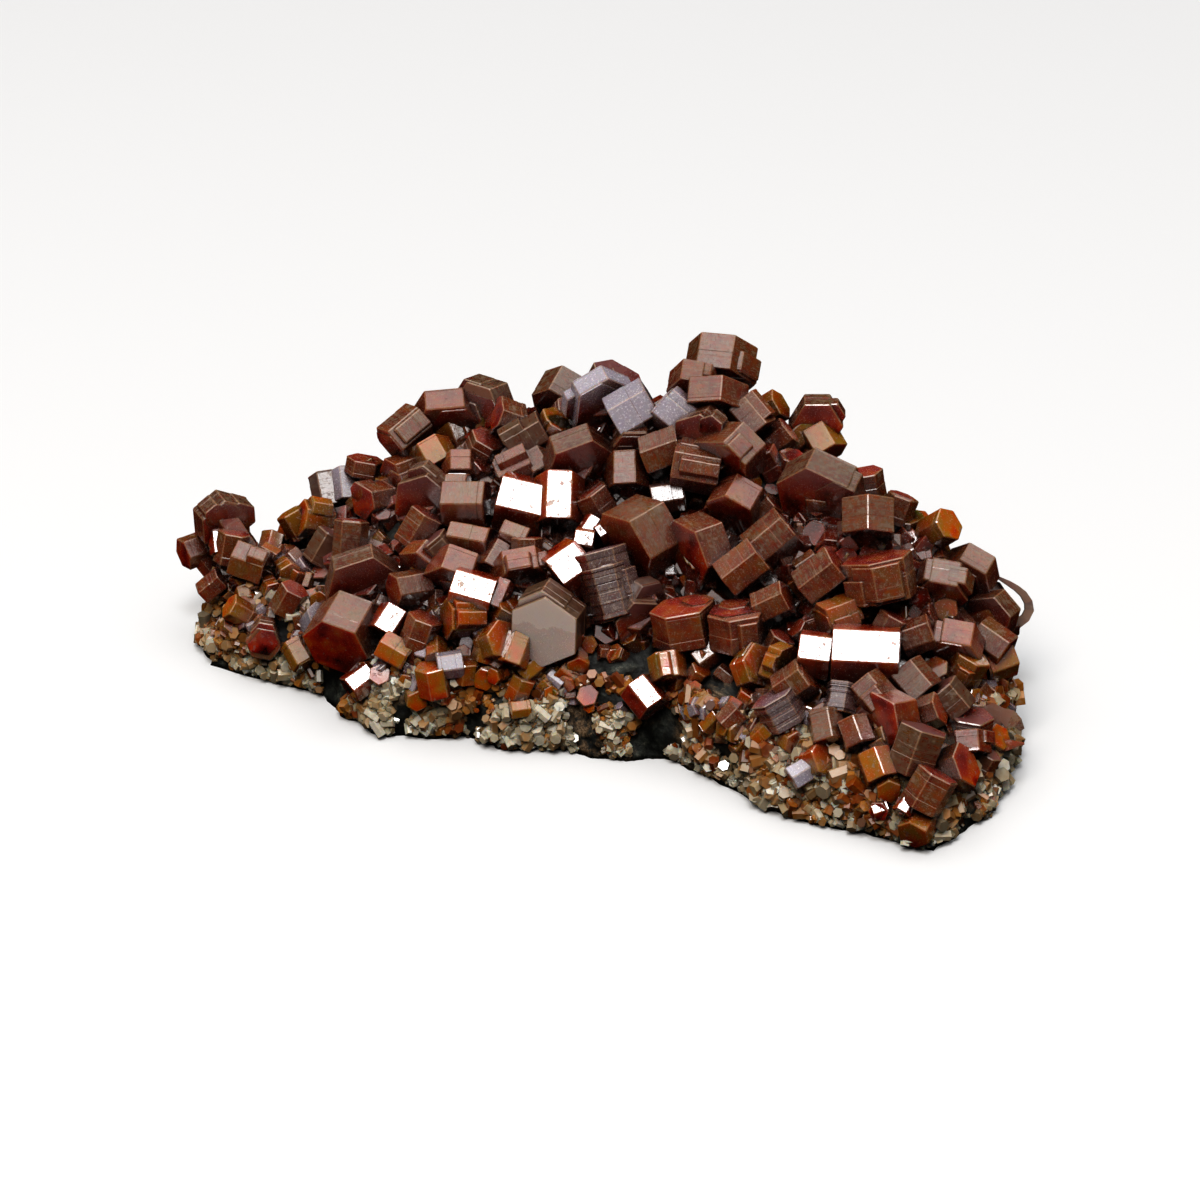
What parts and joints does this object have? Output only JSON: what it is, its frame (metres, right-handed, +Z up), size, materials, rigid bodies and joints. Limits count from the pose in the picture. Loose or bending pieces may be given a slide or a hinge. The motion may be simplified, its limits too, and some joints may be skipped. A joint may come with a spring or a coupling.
{
  "type": "mineral specimen",
  "caption": "Mineral specimen: a low flat-footed ridge of dark pitted rock under clusters of glossy red-brown hexagonal vanadinite tablets and prisms, for display.",
  "frame": {"origin": "on the ground under the middle of the specimen's box, in the rock's flat cut foot", "axes": "+Z up, +X along the ridge's long side toward the right end in the picture, -Y toward the side that the picture shows, whose camera stands 32 degrees round from -Y toward +X"},
  "size_m": [0.0912, 0.0494, 0.0326],
  "materials": {
    "matrix_rock": "rough",
    "knob_cluster": "gloss",
    "left_foot_cluster": "gloss",
    "left_slope_cluster": "gloss",
    "left_tablet_pair": "gloss",
    "pink_tablet_cluster": "gloss",
    "amber_window_cluster": "gloss",
    "ridge_cluster": "gloss",
    "ridge_saddle_cluster": "gloss",
    "window_cluster": "gloss",
    "crown_cluster": "gloss",
    "summit_cluster": "gloss",
    "lone_hexagon_pair": "gloss",
    "great_tablet_cluster": "gloss",
    "right_shoulder_cluster": "gloss",
    "box_crystal_cluster": "gloss",
    "right_prism_cluster": "gloss",
    "right_wing_cluster": "gloss",
    "red_topped_pair": "gloss",
    "striated_cluster": "gloss",
    "front_tablet_cluster": "gloss",
    "right_window_pair": "gloss",
    "lower_right_cluster": "gloss",
    "broken_plate_pair": "gloss",
    "near_corner_cluster": "gloss",
    "amber_bench_cluster": "gloss",
    "hollow_cluster": "gloss",
    "back_left_cluster": "gloss",
    "back_middle_cluster": "gloss",
    "back_right_cluster": "gloss"
  },
  "bodies": {
    "root": {"matrix": "matrix_rock", "knob_cluster": "knob_cluster", "left_foot_cluster": "left_foot_cluster", "left_slope_cluster": "left_slope_cluster", "left_tablet_pair": "left_tablet_pair", "pink_tablet_cluster": "pink_tablet_cluster", "amber_window_cluster": "amber_window_cluster", "ridge_cluster": "ridge_cluster", "ridge_saddle_cluster": "ridge_saddle_cluster", "window_cluster": "window_cluster", "crown_cluster": "crown_cluster", "summit_cluster": "summit_cluster", "lone_hexagon_pair": "lone_hexagon_pair", "great_tablet_cluster": "great_tablet_cluster", "right_shoulder_cluster": "right_shoulder_cluster", "box_crystal_cluster": "box_crystal_cluster", "right_prism_cluster": "right_prism_cluster", "right_wing_cluster": "right_wing_cluster", "red_topped_pair": "red_topped_pair", "striated_cluster": "striated_cluster", "front_tablet_cluster": "front_tablet_cluster", "right_window_pair": "right_window_pair", "lower_right_cluster": "lower_right_cluster", "broken_plate_pair": "broken_plate_pair", "near_corner_cluster": "near_corner_cluster", "amber_bench_cluster": "amber_bench_cluster", "hollow_cluster": "hollow_cluster", "back_left_cluster": "back_left_cluster", "back_middle_cluster": "back_middle_cluster", "back_right_cluster": "back_right_cluster"}
  },
  "joints": []
}
